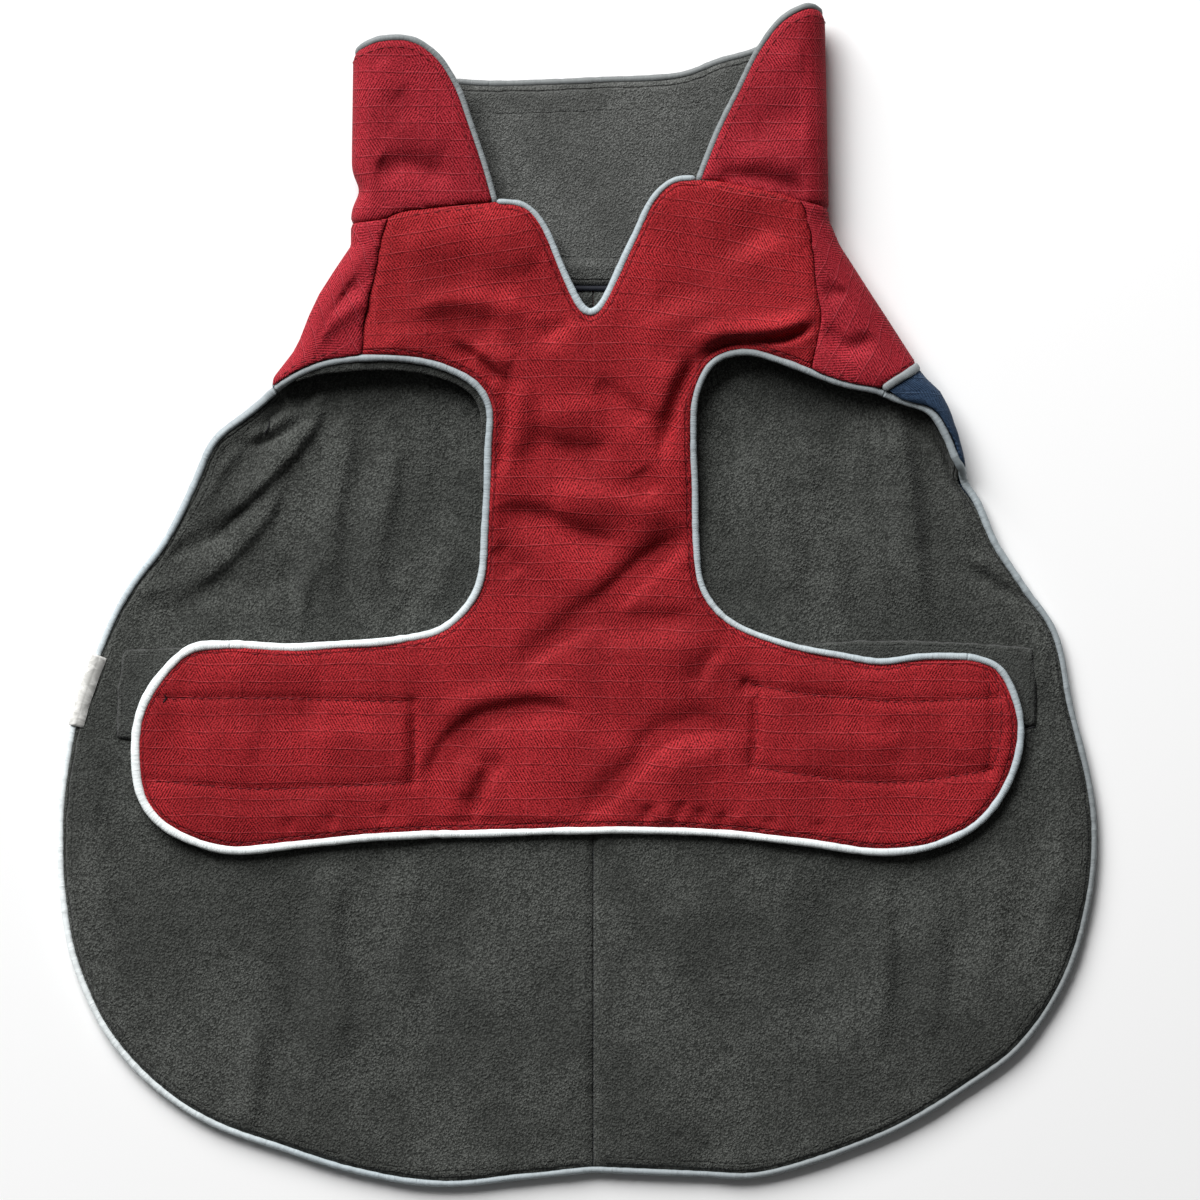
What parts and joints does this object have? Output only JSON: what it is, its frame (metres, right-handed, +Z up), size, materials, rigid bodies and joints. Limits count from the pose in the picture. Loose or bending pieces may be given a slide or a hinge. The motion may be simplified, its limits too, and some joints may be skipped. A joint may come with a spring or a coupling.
{
  "type": "dog winter coat",
  "caption": "Dog coat laid flat: fleece lined back panel, yoke, folded stand collar, chest panel with belly band, edges piped.",
  "frame": {"origin": "on the floor under the middle of the coat", "axes": "+Z up off the floor, +Y from the hem towards the collar, +X to the right seen from above"},
  "size_m": [0.3334, 0.3788, 0.0169],
  "materials": {
    "navy_ripstop": "woven ripstop, semi-matte",
    "grey_fleece": "brushed fleece",
    "red_ripstop": "woven ripstop, semi-matte",
    "reflective_piping": "reflective tape, satin",
    "dark_tape": "woven tape, matte",
    "hook_tape": "hook tape, matte",
    "satin_tape": "satin"
  },
  "bodies": {
    "root": {"back_shell": "navy_ripstop", "back_lining_left": "grey_fleece", "back_lining_right": "grey_fleece", "yoke": "red_ripstop", "yoke_piping": "reflective_piping", "collar_shell": "red_ripstop", "collar_lining": "grey_fleece", "neck_tape": "dark_tape", "chest_panel": "red_ripstop", "hook_patch_left": "hook_tape", "hook_patch_right": "hook_tape", "lining_patch_left": "grey_fleece", "lining_patch_right": "grey_fleece", "hem_piping": "reflective_piping", "leg_piping_left": "reflective_piping", "leg_piping_right": "reflective_piping", "band_piping": "reflective_piping", "neckline_piping": "reflective_piping", "collar_piping": "reflective_piping", "side_tab": "satin_tape"}
  },
  "joints": []
}
